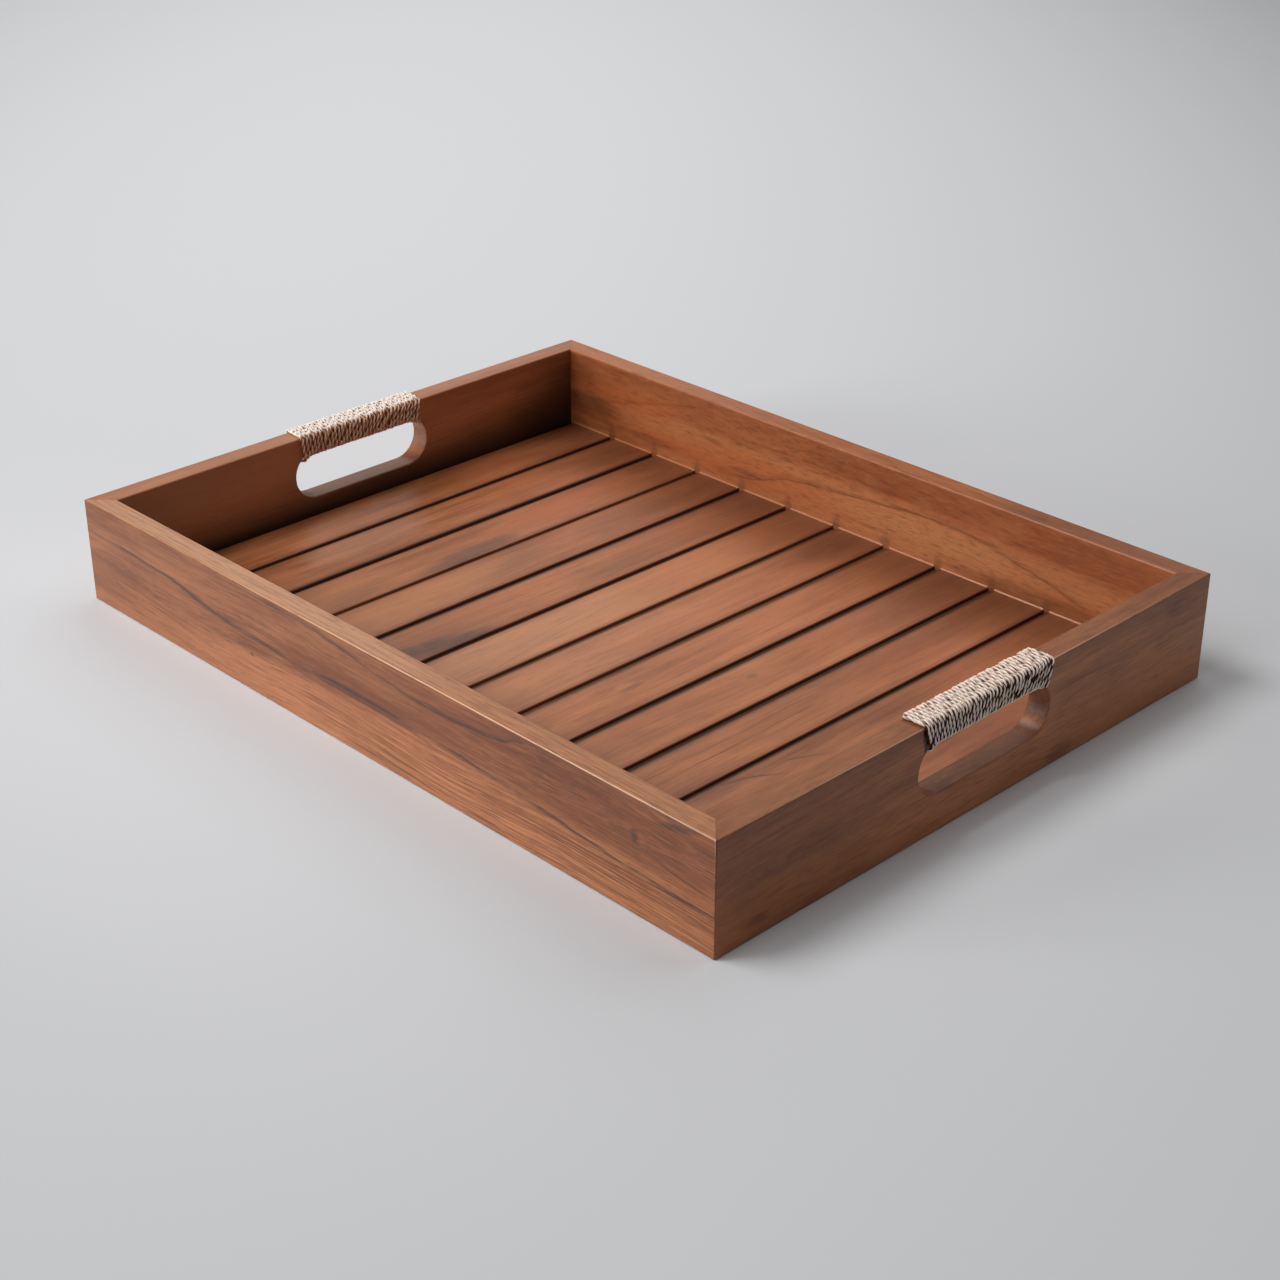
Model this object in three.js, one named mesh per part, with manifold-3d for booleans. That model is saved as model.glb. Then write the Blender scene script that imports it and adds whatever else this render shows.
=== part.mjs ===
// Wooden serving tray: four mitred boards round a floor of rebated staves, with cord wound on the handle bars.
// Millimetres, +Z up. The origin lies on the table under the tray's centre, and +X runs along its length.

import * as THREE from 'three';
import { mergeVertices } from 'three/addons/utils/BufferGeometryUtils.js';
import Module from 'manifold-3d';

// Frame boards
const TRAY_LENGTH = 480;
const TRAY_WIDTH = 360;
const TRAY_HEIGHT = 60;
const BOARD_THICKNESS = 13;
const ARRIS_RADIUS = 1;
const MITRE_GLUE_LINE = 0.1;

// Floor staves, which run across the tray and are let into a groove round the frame
const STAVE_COUNT = 12;
const STAVE_THICKNESS = 8;
const FLOOR_HEIGHT = 11;
const SHADOW_GAP = 4.2;
const TIGHT_GAP = 3.4;
const TIGHT_JOINTS = [3, 10];
const END_GAP = 2.8;
const REBATE_DEPTH = 2;
const STAVE_CHAMFER = 0.4;
const STAVE_JOINT_CLEARANCE = 0.2;
const TONGUE_THICKNESS = 4;
const TONGUE_LENGTH = 5.5;
const TONGUE_CLEARANCE = 0.2;
const SHOULDER_CLEARANCE = 0.3;

// Finger slots in the end boards
const SLOT_LENGTH = 97;
const SLOT_HEIGHT = 29;
const SLOT_SILL = 21;
const SLOT_EASE = 1;

// Loose tongues hidden in the mitres
const SPLINE_WIDTH = 8;
const SPLINE_THICKNESS = 3;
const SPLINE_MARGIN = 8;
const SPLINE_CLEARANCE = 0.2;

// Cord wound round the bar above each slot. The insets run from the slot's ends to the winding's ends.
const WRAP_LOOPS = 24;
const CORD_THICKNESS = 2.2;
const CORD_CLEARANCE = 0.3;
const LOOP_GAP = 0.6;
const LEFT_WRAP_INSET = 3.5;
const RIGHT_WRAP_INSET = 1.5;
const WRAP_INSET_BELOW = 6;

// Facets
const ARRIS_STEPS = 2;
const SLOT_ARC_STEPS = 16;
const EASE_STEPS = 3;
const CORD_CORNER_STEPS = 2;
const CUT_OVERRUN = 1;

// Finishes
const OILED_TEAK = { color: '#8f5f43', roughness: 0.5, metalness: 0 };
const STAVE_TEAK = { color: '#9a6648', roughness: 0.4, metalness: 0 };
const BARE_TEAK = { color: '#a67c58', roughness: 0.8, metalness: 0 };
const PAPER_CORD = { color: '#cdb8a2', roughness: 0.9, metalness: 0 };

// Sizes that follow from those above
const INNER_LENGTH = TRAY_LENGTH - 2 * BOARD_THICKNESS;
const INNER_WIDTH = TRAY_WIDTH - 2 * BOARD_THICKNESS;
const STAVE_BASE = FLOOR_HEIGHT - STAVE_THICKNESS;
const REBATE_SHELF = FLOOR_HEIGHT - REBATE_DEPTH;
const TONGUE_BASE = (STAVE_BASE + REBATE_SHELF - TONGUE_THICKNESS) / 2;
const TONGUE_TOP = TONGUE_BASE + TONGUE_THICKNESS;
const GROOVE_BASE = TONGUE_BASE - TONGUE_CLEARANCE;
const GROOVE_TOP = TONGUE_TOP + TONGUE_CLEARANCE;
const SLOT_RADIUS = SLOT_HEIGHT / 2;
const SLOT_STRAIGHT = SLOT_LENGTH - SLOT_HEIGHT;
const SLOT_CENTRE = SLOT_SILL + SLOT_RADIUS;

const X_AXIS = new THREE.Vector3(1, 0, 0);
const Y_AXIS = new THREE.Vector3(0, 1, 0);
const Z_AXIS = new THREE.Vector3(0, 0, 1);
const QUARTER_TURN = Math.PI / 2;
const EIGHTH_TURN = Math.PI / 4;

const wasm = await Module();
wasm.setup();

// A closed three.js geometry as a solid that can be cut and joined.
function solidFrom(geometry) {
  const bare = geometry.clone();
  bare.deleteAttribute('normal');
  bare.deleteAttribute('uv');
  const merged = mergeVertices(bare);
  return new wasm.Manifold(new wasm.Mesh({
    numProp: 3,
    vertProperties: new Float32Array(merged.attributes.position.array),
    triVerts: new Uint32Array(merged.index.array),
  }));
}

function geometryFrom(solid) {
  const { vertProperties, triVerts } = solid.getMesh();
  const geometry = new THREE.BufferGeometry();
  geometry.setAttribute('position', new THREE.BufferAttribute(vertProperties, 3));
  geometry.setIndex(new THREE.BufferAttribute(triVerts, 1));
  geometry.computeVertexNormals();
  return geometry;
}

// An outline drawn on two axes, extruded along the third and centred there.
function prism(outline, length, across, up) {
  const options = { depth: length, bevelEnabled: false, curveSegments: ARRIS_STEPS };
  const geometry = new THREE.ExtrudeGeometry(outline, options);
  const along = new THREE.Vector3().crossVectors(across, up);
  geometry.translate(0, 0, -length / 2);
  geometry.applyMatrix4(new THREE.Matrix4().makeBasis(across, up, along));
  return geometry;
}

// A closed skin over rings of points, each ring anticlockwise as seen from the end of the row.
function loft(rings) {
  const sides = rings[0].length;
  const last = (rings.length - 1) * sides;
  const triangles = [];
  for (let ring = 0; ring < last; ring += sides) {
    for (let side = 0; side < sides; side += 1) {
      const next = (side + 1) % sides;
      triangles.push(ring + side, ring + next, ring + sides + next);
      triangles.push(ring + side, ring + sides + next, ring + sides + side);
    }
  }
  for (let side = 1; side < sides - 1; side += 1) {
    triangles.push(0, side + 1, side);
    triangles.push(last, last + side, last + side + 1);
  }
  const geometry = new THREE.BufferGeometry().setFromPoints(rings.flat());
  geometry.setIndex(triangles);
  geometry.computeVertexNormals();
  return geometry;
}

// A board's cross-section, outer face at 0 and inner face at the board's thickness, with the floor groove.
function boardProfile() {
  const inner = BOARD_THICKNESS - ARRIS_RADIUS;
  const upper = TRAY_HEIGHT - ARRIS_RADIUS;
  const grooveBottom = BOARD_THICKNESS - TONGUE_LENGTH;
  const profile = new THREE.Shape();
  profile.absarc(inner, ARRIS_RADIUS, ARRIS_RADIUS, -QUARTER_TURN, 0);
  profile.lineTo(BOARD_THICKNESS, GROOVE_BASE);
  profile.lineTo(grooveBottom, GROOVE_BASE);
  profile.lineTo(grooveBottom, GROOVE_TOP);
  profile.lineTo(BOARD_THICKNESS, GROOVE_TOP);
  profile.absarc(inner, upper, ARRIS_RADIUS, 0, QUARTER_TURN);
  profile.absarc(ARRIS_RADIUS, upper, ARRIS_RADIUS, QUARTER_TURN, 2 * QUARTER_TURN);
  profile.absarc(ARRIS_RADIUS, ARRIS_RADIUS, ARRIS_RADIUS, 2 * QUARTER_TURN, 3 * QUARTER_TURN);
  return profile;
}

// A board's plan: mitred ends set back half a glue line, and half of each eased outer corner.
function boardPlan(length) {
  const half = length / 2 - MITRE_GLUE_LINE * Math.SQRT1_2;
  const eased = half - ARRIS_RADIUS;
  const plan = new THREE.Shape();
  plan.absarc(eased, ARRIS_RADIUS, ARRIS_RADIUS, -QUARTER_TURN, -EIGHTH_TURN);
  plan.lineTo(half - BOARD_THICKNESS, BOARD_THICKNESS);
  plan.lineTo(BOARD_THICKNESS - half, BOARD_THICKNESS);
  plan.absarc(-eased, ARRIS_RADIUS, ARRIS_RADIUS, 5 * EIGHTH_TURN, 3 * QUARTER_TURN);
  return plan;
}

// A loose tongue for a mitre, grown on every side by a clearance where it is used to cut its pocket.
function spline(growth) {
  const halfWidth = SPLINE_WIDTH / 2 + growth;
  const radius = SPLINE_THICKNESS / 2 + growth;
  const base = GROOVE_TOP + SPLINE_MARGIN - growth;
  const top = TRAY_HEIGHT - SPLINE_MARGIN + growth;
  const plan = new THREE.Shape();
  plan.absarc(halfWidth - radius, 0, radius, -QUARTER_TURN, QUARTER_TURN);
  plan.absarc(radius - halfWidth, 0, radius, QUARTER_TURN, 3 * QUARTER_TURN);
  const geometry = prism(plan, top - base, X_AXIS, Y_AXIS);
  geometry.translate(0, 0, (top + base) / 2);
  return geometry;
}

// A board in its own frame: along X, outer face on Y = 0, inner face towards +Y, standing on Z = 0.
function board(length) {
  const plank = prism(boardProfile(), length, Y_AXIS, Z_AXIS);
  const mitred = prism(boardPlan(length), TRAY_HEIGHT, X_AXIS, Y_AXIS);
  mitred.translate(0, 0, TRAY_HEIGHT / 2);
  let solid = solidFrom(plank).intersect(solidFrom(mitred));
  for (const end of [-1, 1]) {
    const pocket = spline(SPLINE_CLEARANCE);
    pocket.rotateZ(end * EIGHTH_TURN);
    pocket.translate(end * (length - BOARD_THICKNESS) / 2, BOARD_THICKNESS / 2, 0);
    solid = solid.subtract(solidFrom(pocket));
  }
  return solid;
}

// The obround of a finger slot, grown by a margin, at one depth in the board.
function slotRing(depth, margin) {
  const ring = [];
  for (const end of [1, -1]) {
    for (let step = 0; step <= SLOT_ARC_STEPS; step += 1) {
      const angle = end * QUARTER_TURN - Math.PI * step / SLOT_ARC_STEPS;
      const x = end * SLOT_STRAIGHT / 2 + (SLOT_RADIUS + margin) * Math.cos(angle);
      const z = SLOT_CENTRE + (SLOT_RADIUS + margin) * Math.sin(angle);
      ring.push(new THREE.Vector3(x, depth, z));
    }
  }
  return ring;
}

// What is cut away for a finger slot: an obround right through, rounded over at both faces.
function slotCutter() {
  const flare = [[-CUT_OVERRUN, SLOT_EASE]];
  for (let step = 0; step <= EASE_STEPS; step += 1) {
    const angle = QUARTER_TURN * step / EASE_STEPS;
    flare.push([SLOT_EASE * (1 - Math.cos(angle)), SLOT_EASE * (1 - Math.sin(angle))]);
  }
  const outer = flare.map(([depth, margin]) => slotRing(depth, margin));
  const inner = flare.map(([depth, margin]) => slotRing(BOARD_THICKNESS - depth, margin));
  return loft([...outer, ...inner.reverse()]);
}

// Height of the bar's underside, which follows the slot's round ends.
function barUnderside(x) {
  const past = Math.max(0, Math.abs(x) - SLOT_STRAIGHT / 2);
  return SLOT_CENTRE + Math.sqrt(SLOT_RADIUS ** 2 - past ** 2);
}

// The way once round the bar, from the middle of its underside back to there: for each point its Y and Z,
// and the direction away from the bar.
function wayRoundBar(underside) {
  const offset = CORD_CLEARANCE + CORD_THICKNESS / 2;
  const radius = ARRIS_RADIUS + offset;
  const near = ARRIS_RADIUS;
  const far = BOARD_THICKNESS - ARRIS_RADIUS;
  const low = underside + ARRIS_RADIUS;
  const high = TRAY_HEIGHT - ARRIS_RADIUS;
  const corners = [[far, low], [far, high], [near, high], [near, low]];
  const middle = { y: BOARD_THICKNESS / 2, z: underside - offset, away: new THREE.Vector3(0, 0, -1) };
  const way = [middle];
  corners.forEach(([y, z], corner) => {
    for (let step = 0; step <= CORD_CORNER_STEPS; step += 1) {
      const angle = QUARTER_TURN * (corner - 1 + step / CORD_CORNER_STEPS);
      const away = new THREE.Vector3(0, Math.cos(angle), Math.sin(angle));
      way.push({ y: y + radius * away.y, z: z + radius * away.z, away });
    }
  });
  way.push(middle);
  return way;
}

// How far along the way round the bar each of its points lies, from 0 to 1.
function sharesOfWay(way) {
  const reached = [0];
  for (let point = 1; point < way.length; point += 1) {
    const stride = Math.hypot(way[point].y - way[point - 1].y, way[point].z - way[point - 1].z);
    reached.push(reached[point - 1] + stride);
  }
  return reached.map((length) => length / reached[way.length - 1]);
}

// The cord's section, pressed flat on the bar: shares of half its thickness and of half its width.
const CORD_SECTION = [[1, -0.5], [1, 0.5], [0, 1], [-1, 0.5], [-1, -0.5], [0, -1]];

// The cord's rings. It starts and ends on the bar's underside, where the slot's round ends draw the loops in,
// so the underside has one pass of the cord more than the top.
function wrapRings(topInset) {
  const lengthBelow = SLOT_LENGTH - 2 * WRAP_INSET_BELOW;
  const lengthAbove = SLOT_LENGTH - 2 * topInset;
  const cordWidth = (lengthBelow - LOOP_GAP * WRAP_LOOPS) / (WRAP_LOOPS + 1);
  const spreadBelow = lengthBelow - cordWidth;
  const spreadAbove = (lengthAbove - cordWidth) * WRAP_LOOPS / (WRAP_LOOPS - 1);
  const shares = sharesOfWay(wayRoundBar(SLOT_SILL + SLOT_HEIGHT));
  const rings = [];
  for (let loop = 0; loop < WRAP_LOOPS; loop += 1) {
    shares.forEach((share, point) => {
      if (point === 0 && loop > 0) return;
      const progress = (loop + share) / WRAP_LOOPS - 0.5;
      const xBelow = progress * spreadBelow;
      const underside = barUnderside(Math.abs(xBelow) + cordWidth / 2);
      const { y, z, away } = wayRoundBar(underside)[point];
      const rise = THREE.MathUtils.clamp((z - underside) / (TRAY_HEIGHT - underside), 0, 1);
      const x = THREE.MathUtils.lerp(xBelow, progress * spreadAbove, rise);
      const centre = new THREE.Vector3(x, y, z);
      rings.push(CORD_SECTION.map(([thick, wide]) => centre.clone()
        .addScaledVector(away, thick * CORD_THICKNESS / 2)
        .addScaledVector(X_AXIS, -wide * cordWidth / 2)));
    });
  }
  return rings;
}

// Least distance between points of the cord that lie at least half a loop apart.
function leastGap(rings) {
  const apart = Math.ceil(rings.length / WRAP_LOOPS / 2);
  let least = Infinity;
  for (let first = 0; first < rings.length; first += 1) {
    for (let second = first + apart; second < rings.length; second += 1) {
      for (const here of rings[first]) {
        for (const there of rings[second]) {
          least = Math.min(least, here.distanceTo(there));
        }
      }
    }
  }
  return least;
}

// A stave's cross-section: rebated along both top edges, with a tongue where it meets an end board.
function staveProfile(face, body, tongueLeft, tongueRight) {
  const top = FLOOR_HEIGHT;
  const profile = new THREE.Shape();
  profile.moveTo(body.left, STAVE_BASE);
  profile.lineTo(body.right, STAVE_BASE);
  if (tongueRight) {
    profile.lineTo(body.right, TONGUE_BASE);
    profile.lineTo(body.right + TONGUE_LENGTH, TONGUE_BASE);
    profile.lineTo(body.right + TONGUE_LENGTH, TONGUE_TOP);
    profile.lineTo(body.right, TONGUE_TOP);
  }
  profile.lineTo(body.right, REBATE_SHELF);
  profile.lineTo(face.right, REBATE_SHELF);
  profile.lineTo(face.right, top - STAVE_CHAMFER);
  profile.lineTo(face.right - STAVE_CHAMFER, top);
  profile.lineTo(face.left + STAVE_CHAMFER, top);
  profile.lineTo(face.left, top - STAVE_CHAMFER);
  profile.lineTo(face.left, REBATE_SHELF);
  profile.lineTo(body.left, REBATE_SHELF);
  if (tongueLeft) {
    profile.lineTo(body.left, TONGUE_TOP);
    profile.lineTo(body.left - TONGUE_LENGTH, TONGUE_TOP);
    profile.lineTo(body.left - TONGUE_LENGTH, TONGUE_BASE);
    profile.lineTo(body.left, TONGUE_BASE);
  }
  return profile;
}

// The floor seen along its length: shouldered tongues that enter the grooves of the long boards.
function floorProfile() {
  const shoulder = INNER_WIDTH / 2 - SHOULDER_CLEARANCE;
  const reach = shoulder + TONGUE_LENGTH;
  const half = [
    [shoulder, STAVE_BASE],
    [shoulder, TONGUE_BASE],
    [reach, TONGUE_BASE],
    [reach, TONGUE_TOP],
    [shoulder, TONGUE_TOP],
    [shoulder, FLOOR_HEIGHT - STAVE_CHAMFER],
    [shoulder - STAVE_CHAMFER, FLOOR_HEIGHT],
  ];
  const mirrored = half.map(([y, z]) => [-y, z]).reverse();
  return new THREE.Shape([...half, ...mirrored].map(([y, z]) => new THREE.Vector2(y, z)));
}

function meshOf(name, geometry, finish) {
  const mesh = new THREE.Mesh(geometry, new THREE.MeshStandardMaterial(finish));
  mesh.name = name;
  return mesh;
}

function addFloor(tray) {
  const gapAfter = (joint) => (TIGHT_JOINTS.includes(joint) ? TIGHT_GAP : SHADOW_GAP);
  const joints = Array.from({ length: STAVE_COUNT - 1 }, (_, joint) => gapAfter(joint + 1));
  const gaps = [END_GAP, ...joints, END_GAP];
  const faceWidth = (INNER_LENGTH - gaps.reduce((sum, gap) => sum + gap, 0)) / STAVE_COUNT;
  const floor = solidFrom(prism(floorProfile(), TRAY_LENGTH, Y_AXIS, Z_AXIS));
  const reach = INNER_WIDTH + 2 * TONGUE_LENGTH;
  const setBack = STAVE_JOINT_CLEARANCE / 2;
  let left = -INNER_LENGTH / 2;
  for (let stave = 1; stave <= STAVE_COUNT; stave += 1) {
    const first = stave === 1;
    const last = stave === STAVE_COUNT;
    const face = { left: left + gaps[stave - 1], right: left + gaps[stave - 1] + faceWidth };
    const body = {
      left: first ? left + SHOULDER_CLEARANCE : face.left - gaps[stave - 1] / 2 + setBack,
      right: last ? face.right + END_GAP - SHOULDER_CLEARANCE : face.right + gaps[stave] / 2 - setBack,
    };
    const length = solidFrom(prism(staveProfile(face, body, first, last), reach, X_AXIS, Z_AXIS));
    const name = `floor_stave_${String(stave).padStart(2, '0')}`;
    tray.add(meshOf(name, geometryFrom(length.intersect(floor)), STAVE_TEAK));
    left = face.right;
  }
}

function addLongBoards(tray) {
  const geometry = geometryFrom(board(TRAY_LENGTH));
  const front = meshOf('front_board', geometry, OILED_TEAK);
  front.position.y = -TRAY_WIDTH / 2;
  const rear = meshOf('rear_board', geometry, OILED_TEAK);
  rear.position.y = TRAY_WIDTH / 2;
  rear.rotation.z = 2 * QUARTER_TURN;
  tray.add(front, rear);
}

// An end board with its handle's winding, in the board's own frame.
function endOf(side, wrapInset) {
  const slotted = board(TRAY_WIDTH).subtract(solidFrom(slotCutter()));
  const rings = wrapRings(wrapInset);
  console.log(`${side}_handle_wrap: least gap between its loops ${leastGap(rings).toFixed(2)} mm`);
  const end = new THREE.Group();
  end.add(meshOf(`${side}_end_board`, geometryFrom(slotted), OILED_TEAK));
  end.add(meshOf(`${side}_handle_wrap`, loft(rings), PAPER_CORD));
  return end;
}

function addEnds(tray) {
  const left = endOf('left', LEFT_WRAP_INSET);
  left.position.x = -TRAY_LENGTH / 2;
  left.rotation.z = -QUARTER_TURN;
  const right = endOf('right', RIGHT_WRAP_INSET);
  right.position.x = TRAY_LENGTH / 2;
  right.rotation.z = QUARTER_TURN;
  tray.add(left, right);
}

function addSplines(tray) {
  const x = (TRAY_LENGTH - BOARD_THICKNESS) / 2;
  const y = (TRAY_WIDTH - BOARD_THICKNESS) / 2;
  for (const [depthName, ySide] of [['front', -1], ['rear', 1]]) {
    for (const [endName, xSide] of [['left', -1], ['right', 1]]) {
      const tongue = meshOf(`corner_spline_${depthName}_${endName}`, spline(0), BARE_TEAK);
      tongue.position.set(xSide * x, ySide * y, 0);
      tongue.rotation.z = -xSide * ySide * EIGHTH_TURN;
      tray.add(tongue);
    }
  }
}

const tray = new THREE.Group();
addLongBoards(tray);
addEnds(tray);
addFloor(tray);
addSplines(tray);

export default tray;
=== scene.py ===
import math
import random

import bpy
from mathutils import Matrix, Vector


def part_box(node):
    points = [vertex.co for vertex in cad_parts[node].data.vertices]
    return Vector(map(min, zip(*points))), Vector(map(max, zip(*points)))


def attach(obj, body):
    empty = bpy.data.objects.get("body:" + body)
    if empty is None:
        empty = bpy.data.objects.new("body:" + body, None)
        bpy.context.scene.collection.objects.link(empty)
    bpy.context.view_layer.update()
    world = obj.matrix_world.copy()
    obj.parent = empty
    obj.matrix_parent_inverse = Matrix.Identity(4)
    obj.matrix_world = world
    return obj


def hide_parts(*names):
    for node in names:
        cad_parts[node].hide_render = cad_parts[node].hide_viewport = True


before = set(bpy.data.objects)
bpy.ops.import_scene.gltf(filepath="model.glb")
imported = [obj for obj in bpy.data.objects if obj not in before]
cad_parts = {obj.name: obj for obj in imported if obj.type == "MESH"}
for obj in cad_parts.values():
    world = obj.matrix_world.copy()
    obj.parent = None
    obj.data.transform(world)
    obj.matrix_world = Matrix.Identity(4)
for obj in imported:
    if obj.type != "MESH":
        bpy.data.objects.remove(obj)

# Metres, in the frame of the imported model: +X along the tray, +Y towards the rear board, +Z up.
# Marks in the wood are in millimetres in the same frame, as places along and across the grain.
bpy.context.view_layer.update()
X, Y, Z = range(3)
UP = Vector((0.0, 0.0, 1.0))

# View
CAMERA_PLACE = (0.7886, -0.7534, 0.5671)
CAMERA_TARGET = (0.0488, -0.0384, 0.03)
CAMERA_LENS = 64.3
CAMERA_SENSOR = 36.0
CAMERA_ROLL = math.radians(-0.13)

# Lamps: direction as azimuth from the front and elevation in degrees, width, and power in watts
LAMP_DISTANCE = 3.5
LAMP_RAISE = 0.1
WORLD_STRENGTH = 0.02
LAMPS = {
    "key": (315, 60, 1.6, 63.0),
    "low_fill": (330, 10, 1.6, 67.0),
    "front_fill": (0, 45, 1.6, 24.0),
    "rear": (180, 50, 4.2, 46.0),
    "sheen": (235, 27, 1.8, 8.0),
    "right_fill": (80, 8, 1.6, 8.0),
}

# Backdrop: half its width, its colour by the tray, and how that changes per metre away from the camera and
# across the view, as painted light and shade
FLOOR_HALF = 4.0
FLOOR_ROUGHNESS = 0.8
FLOOR_COLOUR = (0.67, 0.675, 0.692)
FLOOR_DEEPER = 0.225
FLOOR_ACROSS = -0.072
FLOOR_ASIDE = -0.584
FLOOR_SKEW = -0.116
FLOOR_FAR = -0.054
FLOOR_LEAST, FLOOR_MOST = 0.6, 1.25

# The light that the front board throws on the backdrop: how strong it is, and where it starts, is full,
# starts to fade and ends
FLOOR_GLOW = 0.09
GLOW_ALONG = (-0.6, -0.2, -0.1, 0.3)
GLOW_BEFORE = (-0.45, -0.22, -0.2, 0.0)

# Sizes of the tray that the pieces made here follow
FLOOR_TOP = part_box("floor_stave_01")[1].z
RIM_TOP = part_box("front_board")[1].z
HALF_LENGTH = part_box("front_board")[1].x
HALF_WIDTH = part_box("right_end_board")[1].y
BOARD_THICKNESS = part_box("front_board")[1].y + HALF_WIDTH
STAVE_COUNT = 12
GROOVE_DEPTH = 0.002
MILLIMETRES = 1000.0

# Edges sharper than this stay sharp, corners nearer than this are joined, and top faces are this flat
SHARP_ANGLE = math.radians(50)
WELD_DISTANCE = 0.000002
FACE_TOLERANCE = 0.00001

# Handle bars: the wood between each finger slot and the rim
SLOT_TOP = 0.050
SLOT_RADIUS = 0.0145
SLOT_STRAIGHT = 0.068
SLOT_EASE = 0.001
ARRIS = 0.001

# Windings: plies of twisted grass, laid together and wound round each bar. Fibres twist in turns per
# millimetre, and the shift gives each ply fibres of its own.
CORD_RADIUS = 0.00117
PLY_FULLNESS = 1.03
PLY_SIDES = 6
PLY_STRAY = 0.8
RINGS_A_TURN = 72
CORD_SLACK = 0.00013
CORD_LUMPS = 0.00005
FIBRE_TWIST = -0.16
PLY_SHIFT = 977.0
WINDINGS = {
    "right": {
        "side": 1, "turns": 38, "above": 0.0935, "below": 0.085, "start": 0.40, "end": 0.86, "sag": 0.0,
        "plies": 3, "lay": 0.0110, "gloom": 0.8, "bleach": 0.35, "seed": 3,
    },
    "left": {
        "side": -1, "turns": 36, "above": 0.0895, "below": 0.085, "start": 0.97, "end": 0.14, "sag": 0.0015,
        "plies": 2, "lay": 0.0085, "gloom": 0.0, "bleach": 0.65, "seed": 8,
    },
}

# Lacquer that has gathered in the corner along the foot of each long board
FILM_RADIUS = 0.0008
FILM_STEPS = 5

# Wood: how far the grain sways, half the width in millimetres of a vein's core, how far apart the seeds
# lie in the noise, and colours under the lacquer
GRAIN_SWAY = 0.006
VEIN_CORE = 0.8
SEED_STEPS = (7.31, 3.17, 5.71)
PALE = (0.46, 0.165, 0.062)
PALE_FLOOR = (0.575, 0.206, 0.0775)
BROWN = (0.17, 0.045, 0.011)
LINE = (0.105, 0.030, 0.010)
STREAK = (0.022, 0.013, 0.012)
# Grey brown; also painted shade on the slot sills and near the rear board on some staves
GREY_BROWN = (0.075, 0.036, 0.025)
HONEY = (0.53, 0.21, 0.080)
EMBER = (0.48, 0.13, 0.040)
# Pale tan; on the arrises it stands for wear with a painted highlight
PALE_TAN = (0.80, 0.47, 0.29)
# Painted shade in the grooves beside the staves, from darkest to faintest
GROOVE_SHADE = (0.075, 0.024, 0.007)
GROOVE_SHADE_SOFT = (0.15, 0.054, 0.019)
GROOVE_SHADE_FAINT = (0.30, 0.11, 0.042)
# Painted shade near the grooves and the long boards of the floor, and painted reflections of the grooves on
# the rear board
PAINTED_SHADE_BROWN = (0.085, 0.024, 0.008)
# Painted shade and shadow, nearly black
PAINTED_SHADE_BLACK = (0.014, 0.006, 0.004)
# Painted sheen and reflection
PAINTED_SHEEN = (0.52, 0.25, 0.15)

# Grass: its fibres, painted light bounced from the tray on its inner side, and painted shade on the flanks
# of the plies and between the turns
STRAW_DARK = (0.64, 0.43, 0.31)
STRAW_LIGHT = (1.0, 0.885, 0.80)
STRAW_TRAY_BOUNCE = (0.90, 0.56, 0.35)
STRAW_VALLEY = (0.36, 0.17, 0.085)
STRAW_SHADE = (0.075, 0.026, 0.011)


class Graph:
    """A material's nodes, with short ways to add and join them."""

    def __init__(self, name):
        self.material = bpy.data.materials.new(name)
        self.material.use_nodes = True
        self.nodes = self.material.node_tree.nodes
        self.links = self.material.node_tree.links
        self.nodes.clear()

    def put(self, socket, value):
        if isinstance(value, bpy.types.NodeSocket):
            self.links.new(value, socket)
        else:
            socket.default_value = value

    def add(self, kind, inputs=None, **settings):
        node = self.nodes.new(kind)
        for key, value in settings.items():
            setattr(node, key, value)
        for key, value in (inputs or {}).items():
            self.put(node.inputs[key], value)
        return node

    def math(self, operation, *values):
        node = self.add("ShaderNodeMath", operation=operation)
        for socket, value in zip(node.inputs, values):
            self.put(socket, value)
        return node.outputs[0]

    def total(self, *terms):
        """The sum of value times weight over the terms."""
        total = 0.0
        for value, weight in terms:
            total = self.math("MULTIPLY_ADD", value, weight, total)
        return total

    def product(self, *values):
        product = values[0]
        for value in values[1:]:
            product = self.math("MULTIPLY", product, value)
        return product

    def ramp(self, value, low, high, bottom=0.0, top=1.0, smooth=True):
        kind = "SMOOTHSTEP" if smooth else "LINEAR"
        inputs = {0: value, 1: low, 2: high, 3: bottom, 4: top}
        return self.add("ShaderNodeMapRange", inputs, interpolation_type=kind).outputs[0]

    def window(self, value, start, full, fading, end):
        """Rises from 0 to 1 between start and full, and falls back between fading and end."""
        return self.product(self.ramp(value, start, full), self.ramp(value, fading, end, 1.0, 0.0))

    def mix(self, share, first, second):
        inputs = {0: share, 6: first, 7: second}
        return self.add("ShaderNodeMix", inputs, data_type="RGBA").outputs[2]

    def vector(self, x, y, z):
        return self.add("ShaderNodeCombineXYZ", {0: x, 1: y, 2: z}).outputs[0]

    def noise(self, vector, detail=2.0, roughness=0.5):
        """Noise from about -1 to 1."""
        inputs = {"Vector": vector, "Scale": 1.0, "Detail": detail, "Roughness": roughness}
        return self.math("MULTIPLY_ADD", self.add("ShaderNodeTexNoise", inputs).outputs[0], 2.0, -1.0)

    def curve(self, value, points):
        """A smooth curve through points from 0 to 1."""
        node = self.add("ShaderNodeFloatCurve", {"Value": value})
        mapped = node.mapping.curves[0].points
        while len(mapped) < len(points):
            mapped.new(0.5, 0.5)
        for point, place in zip(mapped, points):
            point.location = place
        node.mapping.update()
        return node.outputs[0]

    def finish(self, shader):
        output = self.add("ShaderNodeOutputMaterial")
        self.links.new(shader.outputs[0], output.inputs["Surface"])
        return self.material


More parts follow.
